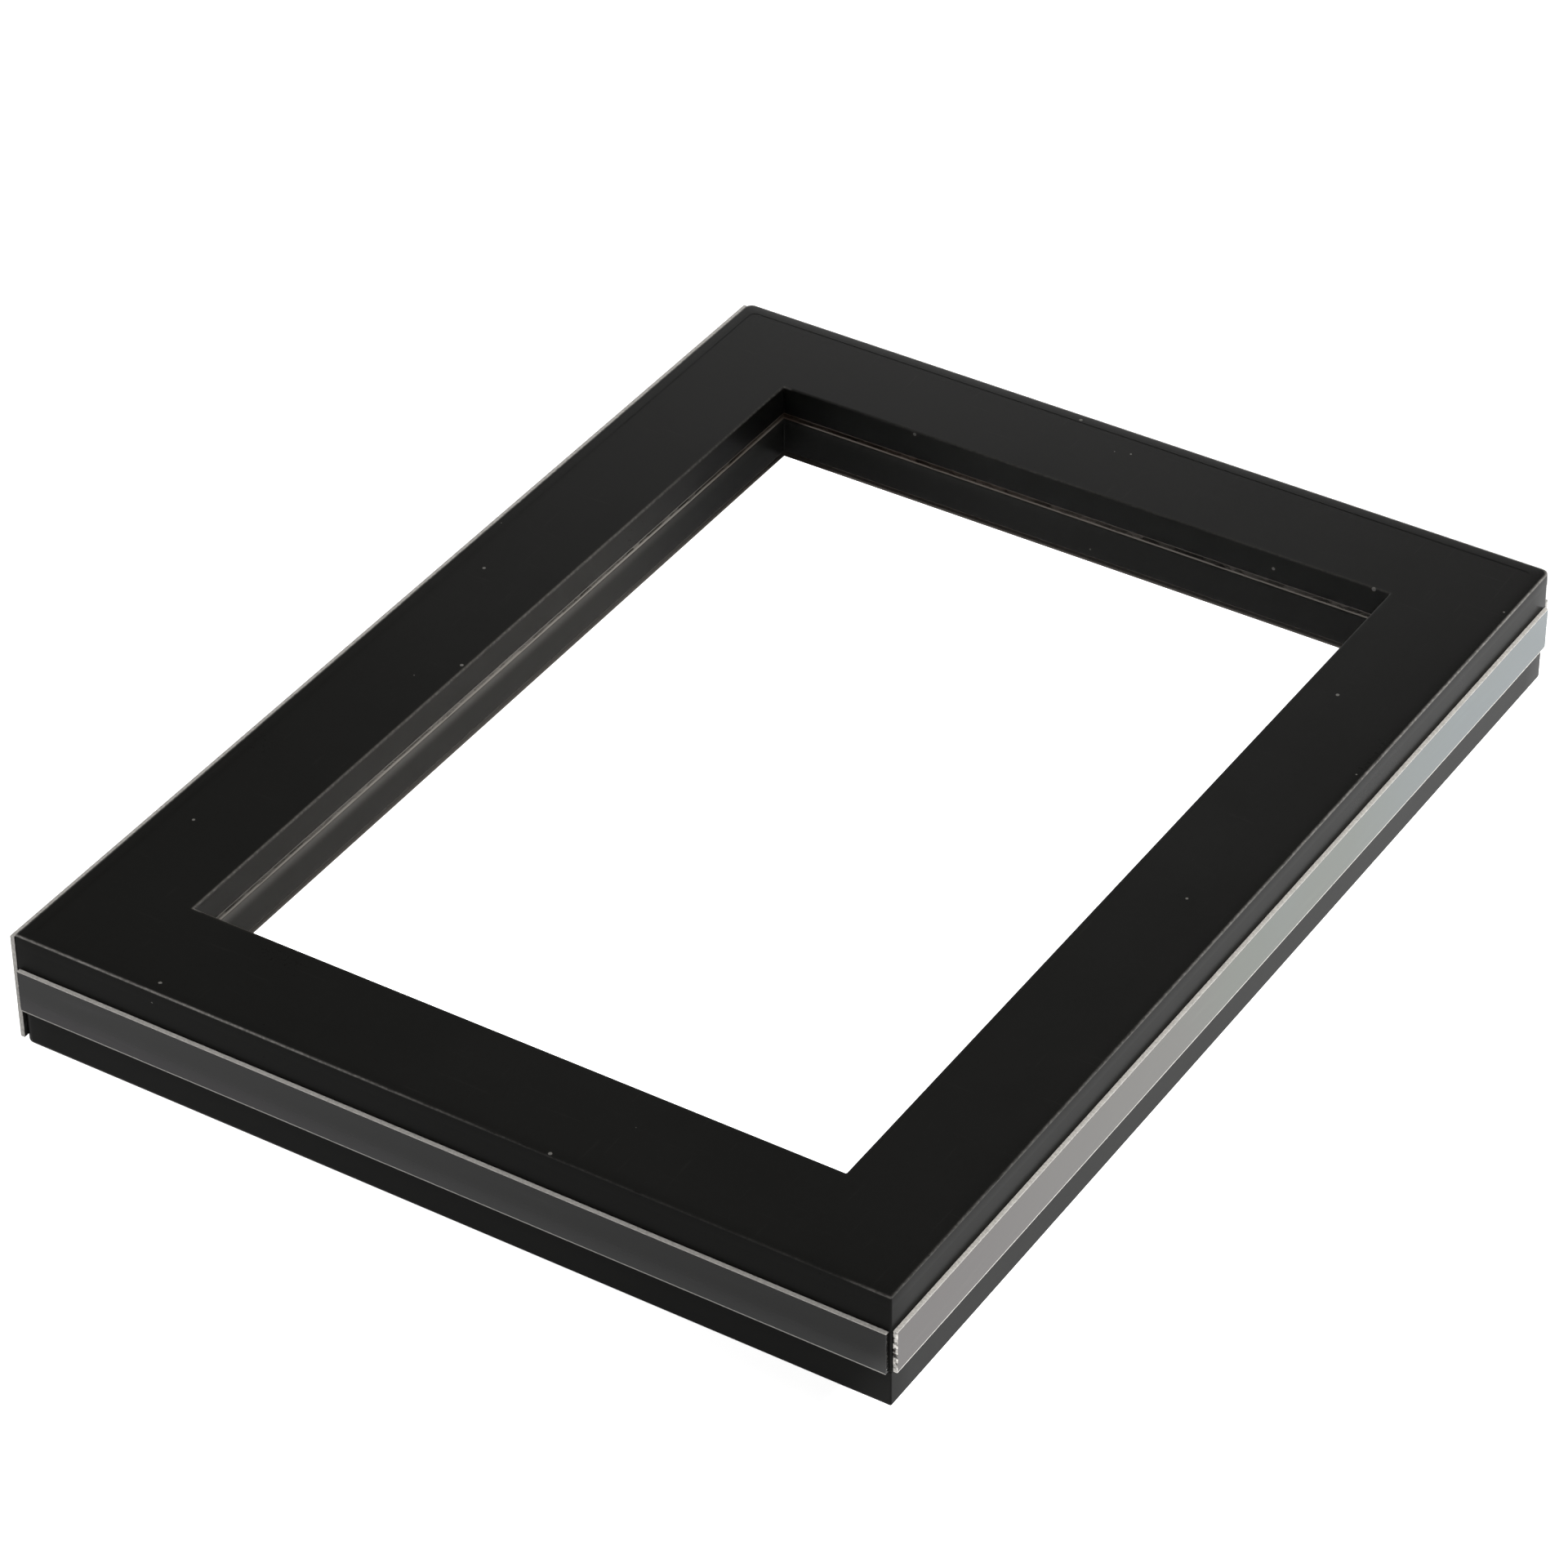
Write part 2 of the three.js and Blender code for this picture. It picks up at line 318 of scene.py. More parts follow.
def frame_layer(name, node, rail, looks, rebate=None, crowned=False, radii=None):
    """One black layer: its rail's cross-section carried round the rectangle. The outer corner's
    radius changes evenly into the window corner's radius across the rail."""
    low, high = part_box(node)
    half_width, half_length = high.x, high.y
    outside = outside_levels()
    outer = [
        looks.edge_radius if level in outside else looks.joint_radius for level in (low.z, high.z)
    ]
    profile = layer_profile(rail, low.z, high.z, looks.edge_radius, rebate, outer)
    if crowned:
        profile = with_crown_points(profile, high.z, looks.crown_width)
        profile = crown(profile, high.z, looks.crown_width, looks.crown_drop)
    if radii is None:
        crisp = looks.crisp_radius
        radii = (looks.corner_radius, looks.worn_radius, crisp, crisp)
    inward = np.clip(profile[:, :1] / rail, 0, 1)
    round_at = np.array(radii) * (1 - inward) + looks.window_radius * inward
    points = inset_loops(profile, half_width, half_length, round_at)
    edge = edge_nearness(profile, low.z, high.z, rail)
    wear = np.broadcast_to(edge[:, None], points.shape[:2])
    points = points + rough_edges(points, wear, looks)
    faces = grid_faces(len(profile), points.shape[1], wrap_rows=True)
    return surface_object(name, points, faces, values={"wear": wear})


def outside_levels():
    """The levels of the frame's underside and of its front face."""
    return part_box("rear_frame")[0].z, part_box("front_frame")[1].z


def edge_nearness(profile, bottom, top, rail):
    """1 on a layer's four long edges and 0 a short way off: falls with the distance to the
    nearest corner of the plain cross-section."""
    corners = np.array([(0, bottom), (0, top), (rail, top), (rail, bottom)])
    distance = np.linalg.norm(profile[:, None] - corners[None], axis=2).min(axis=1)
    return np.clip(1.2 - distance / (0.3 * MM), 0, 1)


def rough_edges(points, wear, looks):
    """Small unevenness of a sawn edge: at most 0.02 mm, towards the layer's middle level."""
    rough = ripple(points, 1.6 * MM, 7) * ripple(points, 11 * MM, 8)
    push = 0.02 * MM * wear * np.abs(rough)
    moved = np.zeros_like(points)
    middle = (points[..., 2].min() + points[..., 2].max()) / 2
    moved[..., 2] = push * np.sign(middle - points[..., 2])
    return moved


def slab(name, size, edge, place, rag=None, side_steps=40):
    """A thin slab with rounded edges, as a sweep of its rim plus two flat faces.

    size is (a, b, thickness). place turns local points (a, b, t), centred on the slab, into the
    frame's own. rag moves the local points.
    """
    half_a, half_b, half_t = (s / 2 for s in size)
    inner = min(half_a, half_b) * 0.6
    corners = [(inner, -half_t), (0, -half_t), (0, half_t), (inner, half_t)]
    profile = rounded_outline(corners, edge, steps=5, support=(0.02 * MM, 0.06 * MM))
    count = len(profile) // 4
    profile = profile[count:-count]
    radii = np.interp(profile[:, 0], [0, edge], [edge * 1.2, edge * 0.6])
    local = inset_loops(profile, half_a, half_b, radii, corner_steps=5, side_steps=side_steps)
    if rag is not None:
        local = local + rag(local)
    columns = local.shape[1]
    faces = grid_faces(len(profile), columns, wrap_rows=False)
    first = list(range(columns))
    last = list(range((len(profile) - 1) * columns, len(profile) * columns))
    caps = [first[::-1], last]
    return surface_object(name, place(local), faces, caps)


def turned_piece(name, outline, centre, sides=48):
    """A round piece: an outline of (radius, height) points turned about a vertical axis, with its
    first and last ring closed by flat faces. A point at angle t is (r cos t, r sin t, h)."""
    t = np.arange(sides) * 2 * np.pi / sides
    r = outline[:, 0][:, None]
    z = np.broadcast_to(outline[:, 1][:, None], (len(outline), sides))
    points = np.stack([r * np.cos(t), r * np.sin(t), z], axis=-1) + np.array(centre)
    faces = grid_faces(len(outline), sides, wrap_rows=False)
    last = (len(outline) - 1) * sides
    caps = [list(range(sides))[::-1], list(range(last, last + sides))]
    return surface_object(name, points, faces, caps)


def bored(piece, tools):
    """Cuts the tools out of a piece, then removes them."""
    for tool in tools:
        cutter = piece.modifiers.new("bore", "BOOLEAN")
        cutter.operation = "DIFFERENCE"
        cutter.solver = "EXACT"
        cutter.object = tool
    bpy.context.view_layer.update()
    finished = piece.evaluated_get(bpy.context.evaluated_depsgraph_get())
    shape = bpy.data.meshes.new_from_object(finished)
    piece.modifiers.clear()
    piece.data = shape
    shape.set_sharp_from_angle(angle=SHARP_ANGLE)
    for tool in tools:
        bpy.data.objects.remove(tool)
    return piece


# ---------------------------------------------------------------- shader expressions


class Value:
    """A shader socket with arithmetic: an expression on values adds its Math nodes."""

    def __init__(self, shader, socket):
        self.shader = shader
        self.socket = socket

    def _math(self, operation, *values):
        return self.shader.node("ShaderNodeMath", {"operation": operation}, values)

    def __add__(self, other):
        return self._math("ADD", self, other)

    __radd__ = __add__

    def __sub__(self, other):
        return self._math("SUBTRACT", self, other)

    def __rsub__(self, other):
        return self._math("SUBTRACT", other, self)

    def __mul__(self, other):
        return self._math("MULTIPLY", self, other)

    __rmul__ = __mul__

    def __truediv__(self, other):
        return self._math("DIVIDE", self, other)

    def __rtruediv__(self, other):
        return self._math("DIVIDE", other, self)

    def __pow__(self, other):
        return self._math("POWER", self, other)

    def __gt__(self, other):
        return self._math("GREATER_THAN", self, other)

    def __lt__(self, other):
        return self._math("LESS_THAN", self, other)

    def largest(self, other):
        """The larger of two values, where they are masks their union."""
        return self._math("MAXIMUM", self, other)

    def smallest(self, other):
        """The smaller of two values."""
        return self._math("MINIMUM", self, other)

    def between(self, low, high):
        """0 at low and 1 at high, smooth between them, and clamped outside."""
        settings = {"interpolation_type": "SMOOTHSTEP"}
        inputs = {"Value": self, "From Min": low, "From Max": high}
        return self.shader.node("ShaderNodeMapRange", settings, inputs, "Result")


class Shader:
    """One material's node tree. Its nodes are made by node(), and finished by surface()."""

    def __init__(self, name):
        self.material = bpy.data.materials.new(name)
        self.material.use_nodes = True
        self.tree = self.material.node_tree
        self.tree.nodes.clear()

    def node(self, kind, settings=None, inputs=(), output=0):
        """Adds a node. settings are set first, inputs are values or links by name or by place."""
        made = self.tree.nodes.new(kind)
        for key, value in (settings or {}).items():
            if key == "stops":
                self._stops(made.color_ramp, value)
            else:
                setattr(made, key, value)
        pairs = inputs.items() if isinstance(inputs, dict) else enumerate(inputs)
        for key, value in pairs:
            if isinstance(value, Value):
                self.tree.links.new(value.socket, made.inputs[key])
            else:
                made.inputs[key].default_value = value
        return Value(self, made.outputs[output]) if made.outputs else None

    def _stops(self, ramp, stops):
        while len(ramp.elements) > 1:
            ramp.elements.remove(ramp.elements[-1])
        ramp.elements[0].position, ramp.elements[0].color = stops[0][0], (*stops[0][1], 1)
        for place, shade in stops[1:]:
            ramp.elements.new(place).color = (*shade, 1)

    def places(self, scale=(1, 1, 1)):
        """Object coordinates, stretched by a scale for each axis."""
        found = self.node("ShaderNodeTexCoord", output="Object")
        return self.node("ShaderNodeVectorMath", {"operation": "MULTIPLY"}, [found, scale])

    def coordinate(self, axis):
        """One of the object coordinates: "X", "Y" or "Z"."""
        return self.node("ShaderNodeSeparateXYZ", None, [self.places()], axis)

    def size_of(self, value):
        """The value without its sign."""
        return self.node("ShaderNodeMath", {"operation": "ABSOLUTE"}, [value])

    def attribute(self, name):
        """A number stored for each point of the mesh."""
        return self.node("ShaderNodeAttribute", {"attribute_name": name}, output="Fac")

    def noise(self, scale, detail, roughness, stretch=(1, 1, 1)):
        """Noise from 0 to 1 in object coordinates. A larger stretch packs it closer on that axis."""
        inputs = {
            "Vector": self.places(stretch), "Scale": scale, "Detail": detail,
            "Roughness": roughness,
        }
        return self.node("ShaderNodeTexNoise", None, inputs, "Fac")

    def specks(self, scale, size, share):
        """Sparse round specks: 1 inside a cell's centre of the given size, in a share of cells."""
        settings = {"feature": "F1"}
        inputs = {"Vector": self.places(), "Scale": scale, "Randomness": 1.0}
        distance = self.node("ShaderNodeTexVoronoi", settings, inputs, "Distance")
        tone = self.node("ShaderNodeTexVoronoi", settings, inputs, "Color")
        picked = self.node("ShaderNodeSeparateColor", None, [tone], "Red")
        return (distance < picked * size) * (picked > 1 - share)

    def blend(self, factor, first, second):
        """Mixes two colours."""
        inputs = {0: factor, 6: self._colour(first), 7: self._colour(second)}
        settings = {"data_type": "RGBA", "blend_type": "MIX"}
        return self.node("ShaderNodeMix", settings, inputs, 2)

    def _colour(self, value):
        return value if isinstance(value, Value) else (*tuple(value)[:3], 1)

    def bump(self, height, distance, strength):
        """A normal tilted by a height from 0 to 1, which stands for a distance in metres."""
        inputs = {"Height": height, "Distance": distance, "Strength": strength}
        return self.node("ShaderNodeBump", None, inputs)

    def principled(self, inputs):
        """The surface shader, from values or links by name."""
        if "Base Color" in inputs:
            inputs["Base Color"] = self._colour(inputs["Base Color"])
        return self.node("ShaderNodeBsdfPrincipled", None, inputs)

    def surface(self, shader):
        """Finishes the material with this shader."""
        self.node("ShaderNodeOutputMaterial", None, [shader])
        return self.material


def mixed(shader, factor, first, second):
    """Mixes two surface shaders: the first at 0, the second at 1."""
    return shader.node("ShaderNodeMixShader", None, {0: factor, 1: first, 2: second})


# ---------------------------------------------------------------- materials


PLASTIC_SHINE = {"IOR": 1.46, "Specular IOR Level": 0.03}
CUT_SHINE = {"IOR": 1.46, "Specular IOR Level": 0.3}


def outer_half():
    """Half the outer width and length of the black layers."""
    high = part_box("core_frame")[1]
    return high.x, high.y


def window_mask(s, looks, grow, soft=0.4 * MM):
    """1 inside the window's outline, let out by grow, and 0 a soft distance beyond that."""
    half_x, half_y = (half - looks.rail_width + grow for half in outer_half())
    in_x = s.size_of(s.coordinate("X")).between(half_x + soft, half_x)
    return in_x * s.size_of(s.coordinate("Y")).between(half_y + soft, half_y)


def worn_and_highlit_edges(s, looks, sill):
    """How pale the layers' edges are, from wear and a painted highlight: most on the outside towards
    the far side, less on the near side and the window's hinge side, and broken up by nicks. With a
    sill, a painted highlight also pales the wall just below that window edge."""
    x, y, z = (s.coordinate(axis) for axis in "XYZ")
    half_x, half_y = outer_half()
    outer = s.size_of(x).between(half_x - 9 * MM, half_x - 2 * MM)
    outer = outer.largest(y.between(half_y - 10 * MM, half_y - 3 * MM))
    # Painted highlight along the edges: up the outer edges towards the far side and the left, on the
    # near side's left part, and on the window's hinge-side top edge; the patches, the nicks and the
    # faint base are wear.
    highlight_ramp = (y * 0.8 - x * 0.2).between(-0.11, 0.08) * 0.75 + 0.22
    near_side = y.between(10 * MM - half_y, 3 * MM - half_y) * x.between(0.02, -0.04) * 0.5
    from_wall = s.size_of(x + (half_x - looks.rail_width))
    window_left_highlight = from_wall.between(2 * MM, 1 * MM) * 0.17
    patches = s.noise(22, 3, 0.6).between(0.3, 0.62)
    nicks = s.noise(1400, 4, 0.7).between(0.35, 0.7)
    top_edge, bottom_edge = z.between(0.019, 0.0195), z.between(0.8 * MM, 0.4 * MM)
    wear = s.attribute("wear") * top_edge.largest(bottom_edge * 0.6)
    wear_and_highlight = (outer * highlight_ramp).largest(near_side).largest(window_left_highlight) + patches * 0.035 + 0.015
    wear_and_highlight = wear * wear_and_highlight * (nicks * 0.5 + 0.5)
    if sill is not None:
        height, depth = sill
        # Painted highlight on the wall just below the window edge, most on the hinge side and little
        # at the far end.
        sill_highlight = z.between(height - depth, height) ** 2
        sill_highlight = sill_highlight * window_mask(s, looks, 1.25 * MM, 0.5 * MM)
        far_end = 1 - y.between(0.0, 0.08) * 0.85
        wear_and_highlight = wear_and_highlight.largest(sill_highlight * x.between(0.02, -0.055) * far_end * 0.12)
    return wear_and_highlight


def black_plastic(name, looks, roughness_shift=0.0, dust=1.0, sill=None):
    """Satin black moulded plastic: fine grain, cloudy sheen, hairlines, a little dust, and edges
    made paler by wear and a painted highlight, most on the outside and least on the near side.
    Painted shade darkens the window's walls in the far left corner, and painted light gives the
    hinge side's wall a faint warm lightening. sill is the height of a window edge whose wall gets a
    painted highlight just below it, and how far down that goes."""
    s = Shader(name)
    x, y = s.coordinate("X"), s.coordinate("Y")
    cloud = s.noise(38, 4, 0.6)
    grain = s.noise(1500, 3, 0.6)
    hair = s.noise(70, 2, 0.5, stretch=(1, 26, 1)).between(0.69, 0.74)
    cross_hair = s.noise(80, 2, 0.5, stretch=(22, 1, 1)).between(0.7, 0.75)
    half_x, half_y = outer_half()
    sides = s.size_of(x).between(half_x - 0.5 * MM, half_x - 0.2 * MM)
    sides = sides.largest(s.size_of(y).between(half_y - 0.5 * MM, half_y - 0.2 * MM))
    walls = window_mask(s, looks, 0.15 * MM)
    lines = (hair + cross_hair).smallest(1) * (1 - walls.largest(sides)) * 0.3
    specks = s.specks(420, 0.13, 0.035) * dust
    lint = s.specks(130, 0.05, 0.06) * dust
    dirt = (specks + lint).smallest(1)
    wear_and_highlight = worn_and_highlit_edges(s, looks, sill)
    base = s.blend(cloud * 0.35, looks.plastic_colour, [c * 1.5 for c in looks.plastic_colour])
    base = s.blend(lines * 0.04, base, looks.dust_colour)
    # Painted light: a faint warm lightening of the hinge side's window wall, fading out before the
    # far end.
    film = walls * x.between(0.0, -0.05) * (1 - y.between(0.02, 0.07)) * 0.009
    base = s.blend(film, base, looks.warm_wall_light_colour)
    # Paler edges: wear and a painted highlight.
    base = s.blend(wear_and_highlight.smallest(1), base, looks.wear_and_highlight_colour)
    base = s.blend(dirt * 0.6, base, looks.dust_colour)
    rough = looks.gloss + roughness_shift + (cloud - 0.5) * 0.12 + (grain - 0.5) * 0.05
    rough = rough + dirt * 0.3 + wear_and_highlight * 0.15
    normal = s.bump(grain * 0.8 - lines * 0.6 + dirt * 2.0, 0.003 * MM, 0.35)
    finish = {"Roughness": rough, "Normal": normal}
    body = s.principled({"Base Color": base, **finish, **PLASTIC_SHINE})
    # Painted shade: a darker copy of the plastic without its reflection, mixed in over the window's
    # walls in the far left corner.
    painted_shade_colour = s.blend(wear_and_highlight.smallest(1), [c * 0.3 for c in looks.plastic_colour], base)
    painted_shade = s.principled({
        "Base Color": painted_shade_colour, **finish, **PLASTIC_SHINE, "Specular IOR Level": 0.0,
    })
    corner = x.between(-0.005, -0.05) * y.between(0.02, 0.078) * walls * 0.65
    return s.surface(mixed(s, corner, body, painted_shade))


def frosted_cut(s, looks, brightness, chips, roughness):
    """A sawn, frosted edge of clear plastic: finely chipped, and as bright as it is asked to be."""
    return s.principled({
        "Base Color": s.blend(brightness, (0, 0, 0), looks.cut_colour),
        "Roughness": chips * 0.2 + roughness, "Normal": s.bump(chips, 0.02 * MM, 0.5),
        **CUT_SHINE,
    })


def clear_strip(node, along, strip_look_and_light, looks):
    """Clear glossy strip over black: the black shows through its polish. Faint tints drift along it
    like a thin film's, a milkiness that is painted light thickens low down and towards its far end,
    and its cut edges and ragged ends are frosted, with a painted highlight as bright as the strip
    asks."""
    low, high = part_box(node)
    s = Shader(f"{node}_clear")
    height = s.coordinate("Z")
    travel = s.coordinate("XY"[along])
    across = s.size_of(s.coordinate("YX"[along]))
    shift = s.noise(24, 2, 0.4) - 0.5
    drift = (travel + shift * 0.09).between(low[along], high[along])
    tint = s.node("ShaderNodeValToRGB", {"stops": strip_look_and_light.tints}, [drift], "Color")
    streak = s.noise(60, 3, 0.5, stretch=(1, 1, 9)).between(0.55, 0.85)
    low_down = height.between(low.z + 0.55 * (high.z - low.z), low.z)
    # Painted light: milkiness that lightens the strip low down and towards its far end.
    haze_and_painted_light = low_down * strip_look_and_light.low_painted_light + drift * strip_look_and_light.far_painted_light
    haze_and_painted_light = haze_and_painted_light + streak * 0.01 + strip_look_and_light.haze_and_painted_light
    scuffs = s.specks(260, 0.1, 0.05) * 0.25
    body = s.principled({
        "Base Color": s.blend((haze_and_painted_light + scuffs).smallest(1), looks.plastic_colour, tint),
        "Roughness": streak * 0.06 + scuffs + 0.07, "IOR": 1.46, "Specular IOR Level": 0.2,
    })
    chips = s.noise(2600, 3, 0.7).between(0.3, 0.7)
    bites = s.noise(900, 3, 0.6)
    face = max(abs(low[1 - along]), abs(high[1 - along]))
    ledge = across.between(face - 0.74 * MM, face - 0.68 * MM)
    top = height.between(high.z - 0.13 * MM, high.z - 0.07 * MM) * ledge
    bitten = height + (bites - 0.5) * 0.1 * MM
    bottom = bitten.between(low.z + 0.27 * MM, low.z + 0.19 * MM)
    short = looks.strip_short if along == 1 else 0.0
    reach = (high[along] - low[along] - short) / 2
    middle = (high[along] + low[along] - short) / 2
    ragged = s.size_of(travel - middle) + (bites - 0.5) * 0.5 * MM
    # Painted highlight: how bright the cut edges and ends are is set for each strip.
    brightness = bottom * strip_look_and_light.bottom_edge
    brightness = brightness.largest(top * strip_look_and_light.top_edge)
    cut = top.largest(bottom)
    if strip_look_and_light.ends > 0:
        ends = ragged.between(reach - 0.13 * MM, reach - 0.08 * MM)
        pale = ends * strip_look_and_light.ends * bites.between(0.35, 0.55)
        brightness = brightness.largest(pale)
        cut = cut.largest(ends)
    frost = frosted_cut(s, looks, brightness * (chips * 0.3 + 0.7), chips, 0.35)
    return s.surface(mixed(s, cut, body, frost))


def clear_pane(node, looks, tape_and_glow_colour, glow):
    """Clear polished sheet: see-through, with a reflection that grows at flat angles and the
    faintest smears. Its margin, which sits in the rebate, carries glazing tape with a painted glow,
    most on the hinge side and least in the far left corner."""
    s = Shader(node)
    x, y = s.coordinate("X"), s.coordinate("Y")
    half_x, half_y = outer_half()
    beyond_x = s.size_of(x) - (half_x - looks.rail_width)
    beyond_y = s.size_of(y) - (half_y - looks.rail_width)
    margin = beyond_x.largest(beyond_y).between(-0.02 * MM, 0.03 * MM)
    smear = s.noise(34, 5, 0.6).between(0.55, 0.8)
    facing = s.node("ShaderNodeLayerWeight", None, {"Blend": 0.5}, "Facing")
    solid = (facing ** 5 * 0.9 + smear * 0.008 + margin).smallest(1)
    blotch = s.noise(90, 4, 0.6) * 0.4 + 0.8
    hinge_side = x.between(-0.05, -0.0565)
    along = y.between(0.08, 0.03) - y.between(-0.025, -0.075) * 0.4
    # Painted glow on the margin's tape: strongest along the hinge side, weaker at its near end, gone
    # at the far end, a little more towards the right, and browner towards the far left corner.
    painted_glow = hinge_side * along * 0.17 + x.between(-0.06, 0.0) * 0.024 + 0.014
    brown = x.between(0.03, -0.05) * y.between(0.05, 0.08)
    lit = s.blend(brown, tape_and_glow_colour, (0.62, 0.4, 0.27))
    clear_tone, tape = (0.05, 0.05, 0.05), [c * 0.12 for c in tape_and_glow_colour]
    body = s.principled({
        "Base Color": s.blend(margin, clear_tone, tape), "Roughness": smear * 0.05 + 0.02,
        "IOR": 1.49, "Alpha": solid,
        "Emission Color": s.blend(margin * painted_glow * blotch * glow, (0, 0, 0), lit),
        "Emission Strength": 1.0,
    })
    return s.surface(body)


def milky_hinge(name, looks):
    """Slightly milky plastic of the hinge over black: a glossy grey with fine draw lines along it
    and soft clouds, whose cut ends and long cut edges are frosted pale."""
    s = Shader(name)
    low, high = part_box("rear_hinge_leaf")
    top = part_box("front_hinge_leaf")[1].z
    draw = s.noise(700, 2, 0.5, stretch=(1, 0.02, 1))
    cloud = s.noise(60, 3, 0.5)
    milk = cloud * 0.012 + draw.between(0.45, 0.8) * 0.012 + 0.012
    leaf = s.principled({
        "Base Color": s.blend(milk, looks.plastic_colour, (0.9, 0.9, 0.88)),
        "Roughness": draw * 0.1 + cloud * 0.06 + 0.06, "IOR": 1.46, "Specular IOR Level": 0.25,
        "Normal": s.bump(draw, 0.004 * MM, 0.4),
    })
    chips = s.noise(1900, 3, 0.7).between(0.3, 0.7)
    along = s.size_of(s.coordinate("Y") + looks.hinge_near_end / 2)
    height = s.coordinate("Z")
    uneven = (s.noise(1100, 3, 0.6) - 0.5) * 0.14 * MM
    tip = high.y + looks.hinge_near_end / 2
    ends = (along + uneven).between(tip - 0.12 * MM, tip - 0.07 * MM)
    rims = (height + uneven).between(top - 0.14 * MM, top - 0.08 * MM)
    rims = rims.largest((height + uneven).between(low.z + 0.14 * MM, low.z + 0.08 * MM))
    cut = ends.largest(rims * 0.8)
    frost = frosted_cut(s, looks, chips * 0.16 + 0.26, chips, 0.4)
    return s.surface(mixed(s, cut, leaf, frost))


def plated_metal(name, tone, roughness, scale=3000):
    """Plated metal: fine pitting, light scratches and a cloudy bloom."""
    s = Shader(name)
    pits = s.noise(scale, 3, 0.6)
    bloom = s.noise(180, 4, 0.6)
    scratch = s.noise(420, 2, 0.5, stretch=(1, 18, 1)).between(0.6, 0.7)
    body = s.principled({
        "Base Color": s.blend(bloom * 0.6, tone, [c * 0.72 for c in tone]),
        "Metallic": 1.0, "Roughness": roughness + bloom * 0.14 + scratch * 0.1,
        "Normal": s.bump(pits - scratch * 0.4, 0.006 * MM, 0.6),
    })
    return s.surface(body)


FLOOR_STRENGTH = 4.0


def studio_floor(looks):
    """A white floor that glows a little, and more on the right, on the left, at the back, under
    the frame and far out. The glow is a grey of Emission Color, times a fixed strength."""
    s = Shader("studio_floor")
    x, y = s.coordinate("X"), s.coordinate("Y")
    from_x, from_y = s.size_of(x), s.size_of(y)
    right = x.between(0.066, 0.075)
    back = y.between(-0.1, 0.12)
    left = x.between(0.07, -0.08)
    inside = from_x.between(0.073, 0.068) * from_y.between(0.098, 0.093)
    far_out = from_x.largest(from_y).between(0.25, 0.6)
    glow = right * 1.35 + right * back * 0.2 + left * 0.3 + inside * 0.75 + far_out * 0.3
    glow = glow + looks.floor_glow
    return s.surface(s.principled({
        "Base Color": looks.floor_colour, "Roughness": 0.9, "Specular IOR Level": 0.1,
        "Emission Color": s.blend(glow / FLOOR_STRENGTH, (0, 0, 0), (1, 1, 1)),
        "Emission Strength": FLOOR_STRENGTH,
    }))


# ---------------------------------------------------------------- fitting pieces to the frame


def fit_out(piece, material, body, node):
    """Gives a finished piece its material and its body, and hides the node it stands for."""
    piece.data.materials.clear()
    piece.data.materials.append(material)
    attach(piece, body)
    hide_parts(node)
    return piece


MAGNET_BORE = (1.6 * MM, 1.0 * MM, 1.15 * MM)


def magnet_tools(nodes, gap):
    """Round cutters a little wider than the magnets, reaching out of the parting face: each goes
    MAGNET_BORE's first length out of its layer, and its second or third length into it, from the
    magnet's middle, in the front and in the core."""
    out, front_depth, core_depth = MAGNET_BORE
    tools = []
    for node in nodes:
        low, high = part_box(node)
        radius = (high.x - low.x) / 2 + gap
        span = (-out, front_depth) if "front" in node else (-core_depth, out)
        outline = np.array([(radius, span[0]), (radius, span[1])])
        centre = ((low.x + high.x) / 2, (low.y + high.y) / 2, (low.z + high.z) / 2)
        tools.append(turned_piece("magnet_bore", outline, centre))
    return tools


class FrameOperator(bpy.types.Operator):
    """What the operators share."""

    bl_options = {"REGISTER", "UNDO"}

    def looks(self, context):
        return context.scene.floating_frame


class FLOATINGFRAME_OT_front_frame(FrameOperator):
    """Builds the black front layer with its window, pane rebate and magnet holes"""

    bl_idname = "floating_frame.front_frame"
    bl_label = "Front Frame"

    def execute(self, context):
        looks = self.looks(context)
        rebate = pane_rebate(looks, "front_pane")
        piece = frame_layer(
            "front_frame_body", "front_frame", looks.rail_width, looks, rebate, crowned=True
        )
        bored(piece, magnet_tools([f"front_magnet_{c}" for c in CORNERS], looks.magnet_gap))
        fit_out(piece, black_plastic("front_black", looks), FRONT, "front_frame")
        return {"FINISHED"}


class FLOATINGFRAME_OT_core_frame(FrameOperator):
    """Builds the black core with its pane rebate and magnet holes"""

    bl_idname = "floating_frame.core_frame"
    bl_label = "Core Frame"

    def execute(self, context):
        looks = self.looks(context)
        rebate = pane_rebate(looks, "rear_pane")
        piece = frame_layer("core_frame_body", "core_frame", looks.rail_width, looks, rebate)
        bored(piece, magnet_tools([f"core_magnet_{c}" for c in CORNERS], looks.magnet_gap))
        sill = (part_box("core_frame")[1].z, 3.0 * MM)
        material = black_plastic("core_black", looks, 0.03, sill=sill)
        fit_out(piece, material, BASE, "core_frame")
        return {"FINISHED"}


def pane_rebate(looks, node):
    """Width and depth of a pane's rebate, from the pane's own size and the gap round it."""
    low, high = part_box(node)
    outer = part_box("core_frame")[1]
    inset = outer.x - high.x - looks.pane_gap
    return looks.rail_width - inset, high.z - low.z


